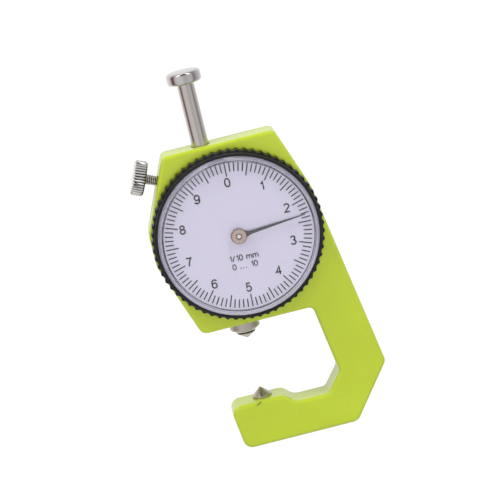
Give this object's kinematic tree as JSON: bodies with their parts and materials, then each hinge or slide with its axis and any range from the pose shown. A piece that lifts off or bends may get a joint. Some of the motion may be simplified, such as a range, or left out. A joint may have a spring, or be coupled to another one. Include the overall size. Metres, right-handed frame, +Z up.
{
  "type": "tire tread depth gauge",
  "caption": "Plunger dial gauge for tyre tread and sheet thickness: C-shaped body, round dial with knurled turning bezel, push button, conical points and a lock screw.",
  "frame": {"origin": "on the flat bottom of the foot, below the plunger axis, at mid-thickness of the body", "axes": "+Z up along the plunger to its button, -Y towards the reader (the dial faces -Y), throat open towards -X, arm on +X"},
  "size_m": [0.0482, 0.0141, 0.0899],
  "materials": {
    "paint_lime": "satin",
    "hard_steel": "ground",
    "steel": "ground",
    "spring_steel": "drawn",
    "nickel": "nickel plated",
    "chrome": "polished",
    "brass": "turned",
    "bronze": "bronze tinted",
    "hand_grey": "dark",
    "dial_white": "painted, satin",
    "print_black": "printed ink",
    "bezel_black": "satin",
    "crystal": "clear"
  },
  "bodies": {
    "gauge_body": {"c_frame": "paint_lime", "anvil": "hard_steel", "top_bush": "brass", "low_bush": "nickel", "bridge": "brass", "bridge_screws": "steel", "front_bearing": "brass", "rear_bearing": "brass", "bezel_clip": "spring_steel", "return_spring": "spring_steel"},
    "plunger_unit": {"plunger": "steel", "button": "chrome", "contact_point": "hard_steel", "spring_collar": "steel", "guide_pin": "steel"},
    "pointer_unit": {"arbor": "steel", "pinion": "brass", "hand": "hand_grey", "hand_hub": "bronze"},
    "bezel_unit": {"bezel": "bezel_black", "dial_plate": "dial_white", "dial_print": "print_black", "crystal": "crystal"},
    "pad_unit": {"lock_pad": "brass"},
    "screw_unit": {"lock_screw": "nickel"}
  },
  "joints": [
    {"name": "plunger_slide", "type": "slide", "parent": "gauge_body", "child": "plunger_unit", "axis": [0, 0, -1], "range_m": [0, 0.01225], "stiffness_N_per_m": 150, "springref_m": -0.006, "deforming": ["return_spring"]},
    {"name": "pointer_turn", "type": "hinge", "parent": "gauge_body", "child": "pointer_unit", "pos_m": [0.0034, 0, 0.051], "axis": [0, -1, 0], "range_deg": [-2, 445]},
    {"name": "bezel_turn", "type": "hinge", "parent": "gauge_body", "child": "bezel_unit", "pos_m": [0.0034, 0, 0.051], "axis": [0, -1, 0], "continuous": true},
    {"name": "pad_slide", "type": "slide", "parent": "gauge_body", "child": "pad_unit", "axis": [0.9197, 0, -0.3927], "range_m": [-0.00045, 0.00025]},
    {"name": "lock_turn", "type": "hinge", "parent": "pad_unit", "child": "screw_unit", "pos_m": [-0.01174, 0, 0.0666], "axis": [0.9197, 0, -0.3927], "range_deg": [-362, 202]}
  ],
  "couplings": [
    {"joint": "pointer_turn", "follows": "plunger_slide", "rad_per_m": 628.32},
    {"joint": "lock_turn", "follows": "pad_slide", "rad_per_m": 13963}
  ]
}
